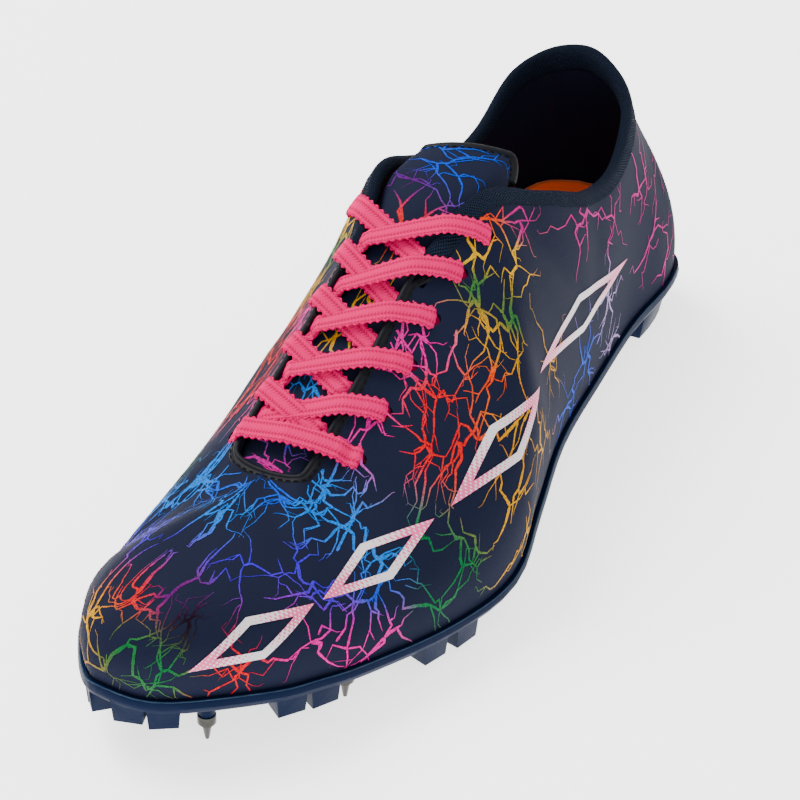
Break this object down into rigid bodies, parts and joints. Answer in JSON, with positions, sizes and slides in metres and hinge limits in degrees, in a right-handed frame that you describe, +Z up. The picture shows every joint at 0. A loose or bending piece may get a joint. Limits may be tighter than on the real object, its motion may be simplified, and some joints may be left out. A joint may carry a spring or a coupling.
{
  "type": "track spike shoe",
  "caption": "Low-cut sprint spike shoe for the left foot, with a laced throat, a padded knit collar, a lugged sole plate and steel spikes under the forefoot.",
  "frame": {"origin": "centre of the footprint of the shoe's box, on the floor that the spikes and the heel block stand on", "axes": "+X from heel to toe, +Y to the outer side of the foot, +Z up"},
  "size_m": [0.2766, 0.0908, 0.0908],
  "materials": {
    "coated_fabric": "matt dark navy coated fabric",
    "knit_mesh": "padded dark navy knitted mesh",
    "insole_foam": "orange foam footbed with a fabric face",
    "moulded_plate": "deep blue moulded plastic, satin",
    "spike_steel": "turned bare steel",
    "lace_braid": "hot pink flat braid"
  },
  "bodies": {
    "root": {"outsole": "moulded_plate", "spike_1": "spike_steel", "spike_2": "spike_steel", "spike_3": "spike_steel", "spike_4": "spike_steel", "spike_5": "spike_steel", "spike_6": "spike_steel", "upper": "coated_fabric", "collar": "knit_mesh", "insole": "insole_foam", "tongue": "coated_fabric", "lace": "lace_braid"}
  },
  "joints": []
}
